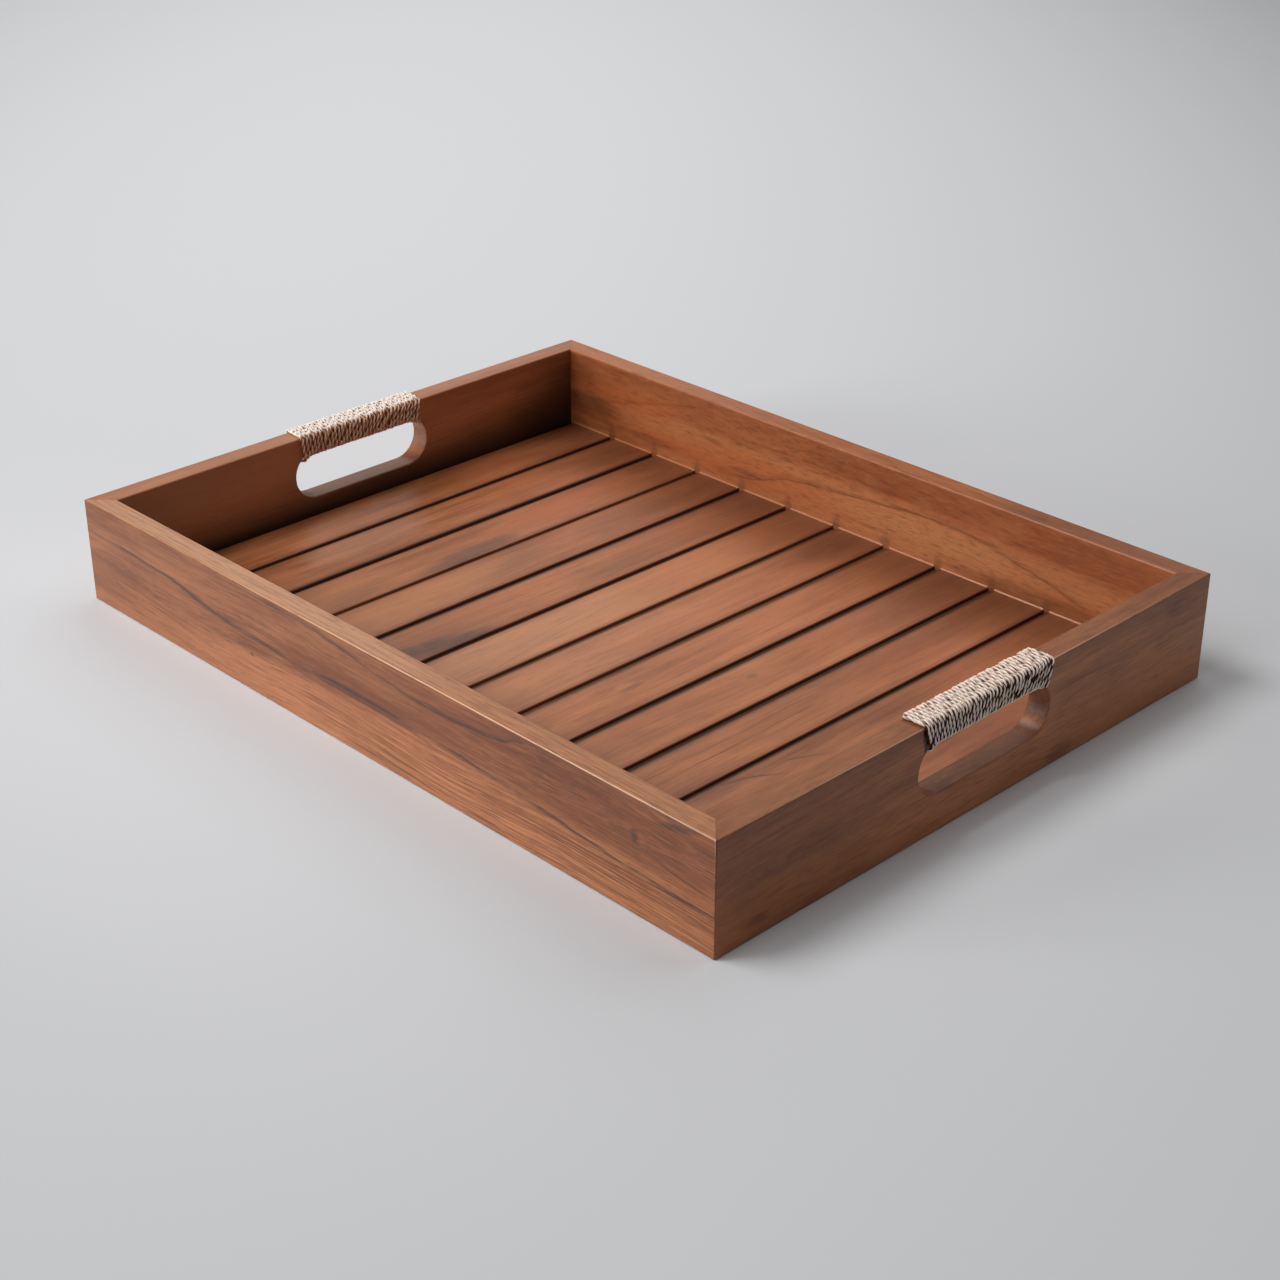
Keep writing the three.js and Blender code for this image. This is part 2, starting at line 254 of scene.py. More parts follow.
class Grain:
    """Places in millimetres along the grain and across the show face, and noise that follows the grain."""

    def __init__(self, graph, along, across, seed):
        self.graph = graph
        self.axis = along
        self.seed = seed
        self.place = graph.add("ShaderNodeTexCoord").outputs["Object"]
        axes = graph.add("ShaderNodeSeparateXYZ", {0: self.place}).outputs
        self.height = axes[Z]
        self.along = graph.math("MULTIPLY", axes[along], MILLIMETRES)
        self.across = graph.math("MULTIPLY", axes[across], MILLIMETRES)
        self.normal = graph.add("ShaderNodeNewGeometry").outputs["Normal"]
        facing = graph.add("ShaderNodeSeparateXYZ", {0: self.normal}).outputs
        self.end = graph.ramp(graph.math("ABSOLUTE", facing[along]), 0.45, 0.9)
        sway = [0.0, 0.0, 0.0]
        sway[across] = graph.math("MULTIPLY", self.streaks(150.0, 45.0, 1.0, shift=11.0), GRAIN_SWAY)
        inputs = {0: self.place, 1: graph.vector(*sway)}
        self.place = graph.add("ShaderNodeVectorMath", inputs, operation="ADD").outputs["Vector"]

    def streaks(self, length, width, detail=2.0, roughness=0.5, shift=0.0):
        """Noise drawn out along the grain, with features of about that length and width in millimetres."""
        scale = [MILLIMETRES / width] * 3
        scale[self.axis] = MILLIMETRES / length
        x, y, z = (self.seed * step for step in SEED_STEPS)
        inputs = {"Vector": self.place, "Location": (x + shift, y + shift, z - shift), "Scale": scale}
        return self.graph.noise(self.graph.add("ShaderNodeMapping", inputs).outputs[0], detail, roughness)

    def path(self, points):
        """The place across the grain of a line through points."""
        start, end = points[0][0], points[-1][0]
        low = min(across for _, across in points)
        span = max(max(across for _, across in points) - low, 1.0)
        share = self.graph.ramp(self.along, start, end, smooth=False)
        places = [((along - start) / (end - start), (across - low) / span) for along, across in points]
        return self.graph.math("MULTIPLY_ADD", self.graph.curve(share, places), span, low)


def vein(points, above, below, strength, colour=STREAK, broken=0.6, fade=12.0):
    """A dark line through points, with threads that fray over a width above it and a width below it."""

    def draw(graph, grain):
        shift = 21.0 + points[0][1]
        wobble = grain.streaks(22.0, 6.0, 2.0, 0.6, shift=shift)
        offset = graph.total((grain.across, 1.0), (grain.path(points), -1.0), (wobble, 0.9))
        core = graph.ramp(graph.math("ABSOLUTE", offset), 0.1, VEIN_CORE, 1.0, 0.0)
        spread = graph.product(graph.ramp(offset, -below, 0.0), graph.ramp(offset, 0.0, above, 1.0, 0.0))
        hairs = grain.streaks(40.0, 0.9, 3.0, 0.6, shift=shift + 7.0)
        threads = graph.ramp(hairs, -0.25, 0.35, 0.25, 1.0)
        start = graph.ramp(grain.along, points[0][0] - fade, points[0][0] + fade)
        end = graph.ramp(grain.along, points[-1][0] - fade, points[-1][0] + fade, 1.0, 0.0)
        gaps = grain.streaks(34.0, 4.0, 2.0, shift=shift + 10.0)
        breaks = graph.ramp(gaps, -0.5, 0.25, 1.0 - broken, 1.0)
        line = graph.math("MAXIMUM", core, graph.product(spread, threads))
        return graph.product(line, start, end, breaks, strength), colour

    return draw


def patch(along, across, length, width, strength, colour=GREY_BROWN, slant=0.0):
    """A soft patch, such as a knot or a mineral stain."""

    def draw(graph, grain):
        reach = graph.math("ADD", grain.along, -along)
        drift = graph.total((grain.across, 1.0), (reach, -slant), (1.0, -across))
        ragged = grain.streaks(length * 0.7, width * 0.4, 2.0, 0.6, shift=41.0 + along)
        round_off = graph.total(
            (graph.product(reach, reach), 1.0 / length**2),
            (graph.product(drift, drift), 1.0 / width**2),
            (ragged, 0.45),
        )
        return graph.product(graph.ramp(round_off, 0.0, 1.0, 1.0, 0.0), strength), colour

    return draw


def zone(points, above, strength, colour):
    """A change of colour that starts at a line through points and goes on above it, or below it."""

    def draw(graph, grain):
        offset = graph.total((grain.across, 1.0), (grain.path(points), -1.0))
        return graph.product(graph.ramp(offset, 0.0, above), strength), colour

    return draw


def rim(low, high, width, strength, colour):
    """Shade along both edges of a stave, which lie at low and high across the grain."""

    def draw(graph, grain):
        from_low = graph.math("SUBTRACT", grain.across, low)
        from_high = graph.math("SUBTRACT", high, grain.across)
        inside = graph.math("MINIMUM", from_low, from_high)
        ragged = graph.total((inside, 1.0), (grain.streaks(60.0, 8.0, 2.0, shift=51.0), 0.35 * width))
        return graph.product(graph.ramp(ragged, 0.0, width, 1.0, 0.0), strength), colour

    return draw


def edge(place, width, strength, colour):
    """A dark edge along a stave, painted shadow beside a groove, over a width to the right of a place, or
    to its left if negative.
    """
    inner = place + width
    half = HALF_WIDTH * MILLIMETRES
    return zone([(-half, inner), (half, inner)], -width, strength, colour)


def ends(start, full, strength, colour):
    """Shade that grows towards both ends of a piece."""

    def draw(graph, grain):
        ragged = grain.streaks(60.0, 15.0, shift=53.0)
        reach = graph.total((graph.math("ABSOLUTE", grain.along), 1.0), (ragged, 14.0))
        return graph.product(graph.ramp(reach, start, full), strength), colour

    return draw


def grained(mark, length=45.0, width=0.8):
    """A mark that only shows as fine lines along the grain."""

    def draw(graph, grain):
        share, colour = mark(graph, grain)
        lines = graph.ramp(grain.streaks(length, width, 3.0, 0.65, shift=61.0 + width), 0.0, 0.16)
        return graph.product(share, lines), colour

    return draw


def on(way, mark, spread=0.35):
    """A mark that is only on faces that look one way."""

    def draw(graph, grain):
        share, colour = mark(graph, grain)
        inputs = {0: grain.normal, 1: Vector(way).normalized()}
        facing = graph.add("ShaderNodeVectorMath", inputs, operation="DOT_PRODUCT").outputs["Value"]
        return graph.product(share, graph.ramp(facing, 1.0 - spread, 1.0 - spread / 4.0)), colour

    return draw


def teak(
    name, along, across, seed, tone=0.0, marks=(), groove=None, gloss=0.34, shine=0.5,
    lines=0.6, contrast=1.0, fine=1.0, mottle=0.0, pale=PALE,
):
    """Lacquered teak: clouds, bands, flecks, fine lines and pores along the grain, then single marks.

    Tone makes it paler or darker. Lines, contrast, fine and mottle say how strong the fine dark lines, the
    whole figure, its narrow part and the speckle are. Groove is the colour of painted shade in the grooves
    beside a stave.
    """
    graph = Graph(name)
    grain = Grain(graph, along, across, seed)
    clouds = grain.streaks(75.0, 20.0, 2.0, shift=1.0)
    bands = grain.streaks(280.0, 6.5, 3.0, shift=2.0)
    flecks = grain.streaks(24.0, 3.0, 3.0, 0.6, shift=7.0)
    threads = grain.streaks(90.0, 1.2, 3.0, 0.65, shift=3.0)
    dashes = graph.ramp(grain.streaks(26.0, 0.75, 2.0, 0.6, shift=4.0), 0.0, 0.40)
    pores = graph.ramp(grain.streaks(7.0, 0.42, 1.0, shift=5.0), 0.15, 0.5)
    tufts = graph.product(grain.streaks(2.0, 1.4, 2.0, 0.6, shift=6.0), grain.end)
    figure = graph.total(
        (clouds, 0.85), (bands, 0.8 * fine), (flecks, 0.45 * fine), (threads, 0.6 * fine), (tufts, 1.2)
    )
    shade = graph.ramp(graph.total((figure, contrast), (1.0, tone)), -1.0, 1.0, smooth=False)
    colour = graph.mix(shade, (*BROWN, 1.0), (*pale, 1.0))
    lined = graph.ramp(grain.streaks(160.0, 16.0, 2.0, shift=8.0), -0.35, 0.3, 0.35 * lines, lines)
    ink = graph.product(graph.total((dashes, 0.7), (pores, 0.5)), lined)
    colour = graph.mix(ink, colour, (*LINE, 1.0))
    for mark in marks:
        share, tint = mark(graph, grain)
        colour = graph.mix(share, colour, (*tint, 1.0))
    speckle = grain.streaks(13.0, 2.4, 4.0, 0.7, shift=9.0)
    colour = graph.mix(graph.ramp(speckle, 0.0, 0.5, 0.0, mottle), colour, (*LINE, 1.0))
    colour = graph.mix(graph.ramp(speckle, -0.5, 0.0, 0.6 * mottle, 0.0), colour, (*HONEY, 1.0))
    relief = graph.total((dashes, -0.4), (threads, 0.3), (pores, -0.6), (tufts, 14.0))
    bump = graph.add("ShaderNodeBump", {"Strength": 0.12, "Distance": 0.00006, "Height": relief})
    rough = graph.total(
        (clouds, 0.04), (flecks, 0.05), (ink, 0.10), (grain.end, 0.14), (tufts, 0.2), (1.0, gloss)
    )
    # Painted shade in the grooves: the groove colour, matt, below the top face
    if groove:
        low = FLOOR_TOP - 0.9 * GROOVE_DEPTH
        high = FLOOR_TOP - 0.2 * GROOVE_DEPTH
        colour = graph.mix(graph.ramp(grain.height, low, high), (*groove, 1.0), colour)
        rough = graph.math("MAXIMUM", rough, graph.ramp(grain.height, low, high, 0.95, 0.0))
    shader = graph.add("ShaderNodeBsdfPrincipled", {"Base Color": colour, "Roughness": rough})
    shader.inputs["IOR"].default_value = 1.5
    shader.inputs["Specular IOR Level"].default_value = shine
    graph.put(shader.inputs["Normal"], bump.outputs[0])
    return graph.finish(shader)


def grass_cord(name, seed, gloom, bleach):
    """Dry twisted grass: pale plies with fine fibres that turn round them, browner on the bar's inner face
    as painted light bounced from the tray.

    Gloom is how much painted shade darkens the grass between the turns away from the outer face, and bleach
    how pale the grass is.
    """
    graph = Graph(name)
    strand = graph.add("ShaderNodeUVMap", uv_map="strand").outputs[0]
    length, around = graph.add("ShaderNodeSeparateXYZ", {0: strand}).outputs[:2]
    turn = graph.math("MULTIPLY", graph.math("MULTIPLY_ADD", length, FIBRE_TWIST, around), 2.0 * math.pi)
    side = graph.math("COSINE", turn)
    front = graph.math("SINE", turn)

    def fibre(size, stretch, detail):
        vector = graph.vector(
            graph.math("MULTIPLY_ADD", side, size, seed),
            graph.math("MULTIPLY", front, size),
            graph.math("MULTIPLY", length, stretch),
        )
        return graph.noise(vector, detail, 0.6)

    fine = fibre(5.5, 0.22, 2.0)
    coarse = fibre(2.0, 0.10, 1.0)
    blotch = fibre(0.4, 0.045, 2.0)
    figure = graph.total((fine, 0.6), (coarse, 0.45), (blotch, 0.5), (1.0, bleach))
    shade = graph.ramp(figure, -0.8, 0.8, smooth=False)
    straw = graph.mix(shade, (*STRAW_DARK, 1.0), (*STRAW_LIGHT, 1.0))
    place = graph.add("ShaderNodeUVMap", uv_map="rise").outputs[0]
    rise, outward = graph.add("ShaderNodeSeparateXYZ", {0: place}).outputs[:2]
    # Painted warm light bounced from the tray, on the bar's inner face
    straw = graph.mix(graph.ramp(outward, -1.0, 0.0, 0.8, 0.0), straw, (*STRAW_TRAY_BOUNCE, 1.0))
    outer = graph.math("MAXIMUM", outward, 0.0)
    inner = graph.math("MAXIMUM", graph.math("MULTIPLY", outward, -1.0), 0.0)
    # Painted shade on the flanks of the plies
    flank = graph.ramp(rise, 0.5, 0.9, 1.0, 0.0)
    flank_shade = graph.total((inner, 1.0 - gloom), (1.0, gloom))
    straw = graph.mix(graph.product(flank, flank_shade, 0.75), straw, (*STRAW_VALLEY, 1.0))
    # Painted shade low between the turns, strongest on the outer face
    low = graph.ramp(graph.total((rise, 1.0), (outer, -0.36)), 0.34, 0.54, 1.0, 0.0)
    dark = graph.total((outer, 1.0 - gloom), (1.0, gloom))
    straw = graph.mix(graph.product(low, dark), straw, (*STRAW_SHADE, 1.0))
    bump = graph.add("ShaderNodeBump", {"Strength": 0.6, "Distance": 0.00012})
    graph.put(bump.inputs["Height"], graph.total((fine, 0.7), (coarse, 0.5)))
    shader = graph.add("ShaderNodeBsdfPrincipled", {"Base Color": straw})
    shader.inputs["Roughness"].default_value = 0.75
    shader.inputs["Specular IOR Level"].default_value = 0.1
    graph.put(shader.inputs["Normal"], bump.outputs[0])
    return graph.finish(shader)


def dress(node, material):
    """Gives a CAD node its material and soft shading over its eased edges."""
    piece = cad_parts[node]
    piece.data.materials.clear()
    piece.data.materials.append(material)
    soften = piece.modifiers.new("eased", "NODES")
    soften.node_group = eased_edges()
    weights = piece.modifiers.new("weights", "WEIGHTED_NORMAL")
    weights.keep_sharp = True


def eased_edges():
    """Joins a mesh's faces and shades it smooth, but for edges sharper than an eased one."""
    name = "eased_edges"
    if name in bpy.data.node_groups:
        return bpy.data.node_groups[name]
    tree = bpy.data.node_groups.new(name, "GeometryNodeTree")
    tree.interface.new_socket("Geometry", in_out="INPUT", socket_type="NodeSocketGeometry")
    tree.interface.new_socket("Geometry", in_out="OUTPUT", socket_type="NodeSocketGeometry")
    add = tree.nodes.new
    start = add("NodeGroupInput")
    end = add("NodeGroupOutput")
    merge = add("GeometryNodeMergeByDistance")
    merge.inputs["Distance"].default_value = WELD_DISTANCE
    smooth = add("GeometryNodeSetShadeSmooth")
    crease = add("GeometryNodeSetShadeSmooth")
    crease.domain = "EDGE"
    crease.inputs["Shade Smooth"].default_value = False
    angle = add("GeometryNodeInputMeshEdgeAngle")
    sharper = add("FunctionNodeCompare")
    sharper.operation = "GREATER_THAN"
    sharper.inputs[1].default_value = SHARP_ANGLE
    link = tree.links.new
    link(start.outputs[0], merge.inputs["Geometry"])
    link(merge.outputs[0], smooth.inputs["Geometry"])
    link(smooth.outputs[0], crease.inputs["Geometry"])
    link(angle.outputs["Unsigned Angle"], sharper.inputs[0])
    link(sharper.outputs[0], crease.inputs["Selection"])
    link(crease.outputs[0], end.inputs[0])
    return tree


def add_piece(name, corners, faces, material):
    """Makes a mesh piece that rides on the tray."""
    mesh = bpy.data.meshes.new(name)
    mesh.from_pydata(corners, [], faces)
    mesh.materials.append(material)
    mesh.shade_smooth()
    mesh.set_sharp_from_angle(angle=SHARP_ANGLE)
    piece = bpy.data.objects.new(name, mesh)
    bpy.context.scene.collection.objects.link(piece)
    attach(piece, "root")
    return piece


def bar_underside(along):
    """The height of the bar's underside, which comes down at the round ends of the finger slot."""
    past = max(0.0, abs(along) - SLOT_STRAIGHT / 2)
    return SLOT_TOP - SLOT_RADIUS + math.sqrt(SLOT_RADIUS**2 - past**2)


def round_bar(underside, share, lift):
    """The place across and up, and the way out, at a share of the way round the bar, lifted off it.

    The way starts at the middle of the underside and goes up the inner face and over the rim.
    """
    half = BOARD_THICKNESS / 2 - SLOT_EASE
    side = RIM_TOP - underside - SLOT_EASE - ARRIS
    rim = BOARD_THICKNESS - 2 * ARRIS
    straights = [half, side, rim, side, half]
    corners = [radius + lift for radius in (SLOT_EASE, ARRIS, ARRIS, SLOT_EASE)]
    left = share * (sum(straights) + sum(corners) * math.pi / 2)
    place = Vector((0.0, underside - lift))
    turn = -math.pi / 2
    for number, straight in enumerate(straights):
        out = Vector((math.cos(turn), math.sin(turn)))
        step = min(left, straight)
        place += step * Vector((out.y, -out.x))
        left -= step
        if left <= 0.0 or number == len(corners):
            break
        radius = corners[number]
        step = min(left, radius * math.pi / 2)
        centre = place - radius * out
        turn -= step / radius
        left -= step
        place = centre + radius * Vector((math.cos(turn), math.sin(turn)))
    return place, Vector((math.cos(turn), math.sin(turn)))


def wander(dice, waves=5, slowest=0.35, fastest=2.6):
    """A smooth function of the turn that wanders between about -1 and 1."""
    terms = [(dice.uniform(slowest, fastest), dice.uniform(0.0, 2.0 * math.pi)) for _ in range(waves)]

    def value(turn):
        total = sum(math.sin(2.0 * math.pi * rate * turn + phase) for rate, phase in terms)
        return total / waves**0.5

    return value


def cord_line(side, turns, above, below, start, end, seed, sag):
    """The middle line of a winding's cord from end to end: its places and the ways out of the bar."""
    dice = random.Random(seed)
    shift = wander(dice)
    swell = wander(dice)
    places = []
    outs = []
    first = round(start * RINGS_A_TURN)
    last = round((turns - 1 + end) * RINGS_A_TURN)
    for ring in range(first, last + 1):
        turn = ring / RINGS_A_TURN
        progress = (ring - first) / (last - first) - 0.5
        hang = sag * max(0.0, math.cos(2.0 * math.pi * turn)) ** 4
        lift = CORD_RADIUS + CORD_LUMPS * swell(turn) + hang
        low = progress * below
        place, out = round_bar(bar_underside(low), turn % 1.0, lift)
        rise = (place.y - bar_underside(low)) / (RIM_TOP - bar_underside(low))
        spread = below + (above - below) * min(max(rise, 0.0), 1.0)
        along = progress * spread + CORD_SLACK * shift(turn)
        across = side * (HALF_LENGTH - BOARD_THICKNESS / 2 + place.x)
        places.append(Vector((across, along, place.y)))
        outs.append(Vector((side * out.x, 0.0, out.y)))
    return places, outs


def ply_tube(places, outs, lay, plies, phase, dice):
    """One ply: a tube that turns once round the cord's middle line in each lay, closed at its ends.

    For each face there is its length along the ply and its place round it. For each corner there is its
    height on the cord, and how far the bar looks outward there: 1 on its outer face, -1 on its inner one.
    """
    thickness = PLY_FULLNESS * CORD_RADIUS / (1.0 + 1.0 / math.sin(math.pi / plies))
    offset = CORD_RADIUS - thickness
    thick = wander(dice, slowest=0.2, fastest=1.5)
    twist = wander(dice, slowest=0.1, fastest=0.6)
    corners = []
    faces = []
    strand = []
    rises = []
    length = 0.0
    for ring, (place, out) in enumerate(zip(places, outs)):
        before = places[max(ring - 1, 0)]
        after = places[min(ring + 1, len(places) - 1)]
        way = (after - before).normalized()
        length += (place - before).length
        side = way.cross(out).normalized()
        out = side.cross(way)
        angle = phase + 2.0 * math.pi * length / lay + PLY_STRAY * twist(ring / RINGS_A_TURN)
        away = math.cos(angle) * out + math.sin(angle) * side
        outward = math.copysign(out.x, out.x * place.x)
        beside = way.cross(away)
        radius = thickness * (1.0 + 0.07 * thick(ring / RINGS_A_TURN))
        for corner in range(PLY_SIDES):
            round_ply = 2.0 * math.pi * corner / PLY_SIDES
            spoke = math.cos(round_ply) * away + math.sin(round_ply) * beside
            reach = offset * away + radius * spoke
            corners.append(place + reach)
            rises.append((0.5 + 0.5 * reach.dot(out) / CORD_RADIUS, outward))
        if ring:
            for corner in range(PLY_SIDES):
                following = (corner + 1) % PLY_SIDES
                old = (ring - 1) * PLY_SIDES
                new = ring * PLY_SIDES
                faces.append((old + corner, old + following, new + following, new + corner))
                strand.append((length, corner))
    last = len(corners) - PLY_SIDES
    faces.append(tuple(reversed(range(PLY_SIDES))))
    faces.append(tuple(range(last, last + PLY_SIDES)))
    return corners, faces, strand, rises


def make_winding(name, side, seed, gloom, bleach, plies, lay, **shape):
    """A cord of twisted plies wound round one bar, in place of its plain solid."""
    places, outs = cord_line(side=side, seed=seed, **shape)
    dice = random.Random(seed + 100)
    corners = []
    faces = []
    strands = []
    rises = []
    for ply in range(plies):
        phase = 2.0 * math.pi * ply / plies
        tube, quads, strand, heights = ply_tube(places, outs, lay, plies, phase, dice)
        rises += heights
        base = len(corners)
        corners += tube
        faces += [tuple(base + corner for corner in quad) for quad in quads]
        strands += [(length, corner, ply) for length, corner in strand] + [None, None]
    grass = grass_cord(f"grass_{name}", seed, gloom, bleach)
    piece = add_piece(f"{name}_cord", corners, faces, grass)
    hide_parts(f"{name}_handle_wrap")
    map_cord(piece.data, strands, rises, step=(places[1] - places[0]).length)


def map_cord(mesh, strands, rises, step):
    """Gives each corner of a cord its place on its ply and on the cord, for the grass to follow."""
    for layer in ("strand", "rise"):
        mesh.uv_layers.new(name=layer)
    for loop in mesh.loops:
        mesh.uv_layers["rise"].data[loop.index].uv = rises[loop.vertex_index]
    for face, strand in zip(mesh.polygons, strands):
        for number, loop in enumerate(face.loop_indices):
            if strand:
                length, corner, ply = strand
                behind = number in (0, 1)
                ahead = number in (1, 2)
                along = (length - step * behind) * MILLIMETRES + PLY_SHIFT * ply
                mesh.uv_layers["strand"].data[loop].uv = (along, (corner + ahead) / PLY_SIDES)


def stave_face(node):
    """Where a stave's top face starts and ends along the tray."""
    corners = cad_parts[node].data.vertices
    places = [corner.co.x for corner in corners if corner.co.z > FLOOR_TOP - FACE_TOLERANCE]
    return min(places), max(places)


def groove_places():
    """Where the grooves between the staves lie along the tray, in millimetres."""
    faces = [stave_face(f"floor_stave_{number:02d}") for number in range(1, STAVE_COUNT + 1)]
    return [MILLIMETRES * (left[1] + right[0]) / 2 for left, right in zip(faces, faces[1:])]


def make_corner_film():
    """Lacquer in the corner between the staves and the long boards, broken where the grooves are."""
    wall = HALF_WIDTH - BOARD_THICKNESS
    corners = []
    faces = []
    for number in range(1, STAVE_COUNT + 1):
        for side in (-1, 1):
            base = len(corners)
            for end in stave_face(f"floor_stave_{number:02d}"):
                corners.append((end, side * wall, FLOOR_TOP))
                for step in range(FILM_STEPS + 1):
                    turn = math.pi / 2 * step / FILM_STEPS
                    inward = FILM_RADIUS * (1.0 - math.sin(turn))
                    height = FILM_RADIUS * (1.0 - math.cos(turn))
                    corners.append((end, side * (wall - inward), FLOOR_TOP + height))
            count = FILM_STEPS + 2
            near = list(range(base, base + count))
            far = list(range(base + count, base + 2 * count))
            if side > 0:
                near, far = far, near
            faces.append(tuple(near))
            faces.append(tuple(reversed(far)))
            for corner in range(count):
                following = (corner + 1) % count
                faces.append((near[following], near[corner], far[corner], far[following]))
    # The film's pale tone is a painted highlight along the lacquer
    material = teak("lacquer_film", X, Z, 31.0, tone=1.0, gloss=0.3, lines=0.0)
    add_piece("corner_film", corners, faces, material)


def make_floor():
    """The backdrop that the tray lies on, with painted light and shade: lighter away from the camera and
    darker to the sides.
    """
    half = FLOOR_HALF
    diagonal = math.sqrt(0.5)
    mesh = bpy.data.meshes.new("floor")
    corners = [(-half, -half, 0.0), (half, -half, 0.0), (half, half, 0.0), (-half, half, 0.0)]
    mesh.from_pydata(corners, [], [(0, 1, 2, 3)])
    floor = bpy.data.objects.new("floor", mesh)
    bpy.context.scene.collection.objects.link(floor)
    graph = Graph("floor")
    place = graph.add("ShaderNodeTexCoord").outputs["Object"]
    axes = graph.add("ShaderNodeSeparateXYZ", {0: place}).outputs
    across = graph.total((axes[X], diagonal), (axes[Y], diagonal))
    deeper = graph.total((axes[X], -diagonal), (axes[Y], diagonal))
    glow = graph.product(graph.window(axes[Y], *GLOW_BEFORE), graph.window(axes[X], *GLOW_ALONG))
    level = graph.total(
        (glow, FLOOR_GLOW),
        (deeper, FLOOR_DEEPER),
        (across, FLOOR_ACROSS),
        (graph.product(across, across), FLOOR_ASIDE),
        (graph.product(across, deeper), FLOOR_SKEW),
        (graph.product(deeper, deeper), FLOOR_FAR),
        (1.0, 1.0),
    )
    level = graph.math("MINIMUM", graph.math("MAXIMUM", level, FLOOR_LEAST), FLOOR_MOST)
    colour = graph.vector(*(graph.math("MULTIPLY", level, channel) for channel in FLOOR_COLOUR))
    shader = graph.add("ShaderNodeBsdfPrincipled", {"Base Color": colour})
    shader.inputs["Roughness"].default_value = FLOOR_ROUGHNESS
    mesh.materials.append(graph.finish(shader))


def add_lamp(name, azimuth, elevation, width, watts):
    """A round lamp that looks at the tray from a direction."""
    turn = math.radians(azimuth)
    rise = math.radians(elevation)
    way = Vector((math.sin(turn) * math.cos(rise), -math.cos(turn) * math.cos(rise), math.sin(rise)))
    data = bpy.data.lights.new(name, "AREA")
    data.shape = "DISK"
    data.size = width
    data.energy = watts
    lamp = bpy.data.objects.new(name, data)
    lamp.location = LAMP_DISTANCE * way + LAMP_RAISE * UP
    lamp.rotation_euler = (-way).to_track_quat("-Z", "Y").to_euler()
    bpy.context.scene.collection.objects.link(lamp)


def light_scene():
    """The lamps, a faint even light from all round, and plain colours."""
    world = bpy.data.worlds.new("studio")
    world.use_nodes = True
    background = world.node_tree.nodes["Background"]
    background.inputs["Color"].default_value = (1.0, 1.0, 1.0, 1.0)
    background.inputs["Strength"].default_value = WORLD_STRENGTH
    bpy.context.scene.world = world
    for name, lamp in LAMPS.items():
        add_lamp(name, *lamp)
    bpy.context.scene.view_settings.view_transform = "Standard"


def place_camera():
    """The photograph's view."""
    data = bpy.data.cameras.new("camera")
    data.lens = CAMERA_LENS
    data.sensor_width = CAMERA_SENSOR
    camera = bpy.data.objects.new("camera", data)
    camera.location = CAMERA_PLACE
    aim = Vector(CAMERA_TARGET) - Vector(CAMERA_PLACE)
    camera.rotation_euler = aim.to_track_quat("-Z", "Y").to_euler()
    camera.rotation_euler.rotate_axis("Z", CAMERA_ROLL)
    bpy.context.scene.collection.objects.link(camera)
    bpy.context.scene.camera = camera


# Ways that faces look
UPWARD = (0, 0, 1)
FRONTWARD = (0, -1, 0)
RIGHTWARD = (1, 0, 0)
FRONT_ARRIS = (0, -1, 1)
RIGHT_ARRIS = (1, 0, 1)

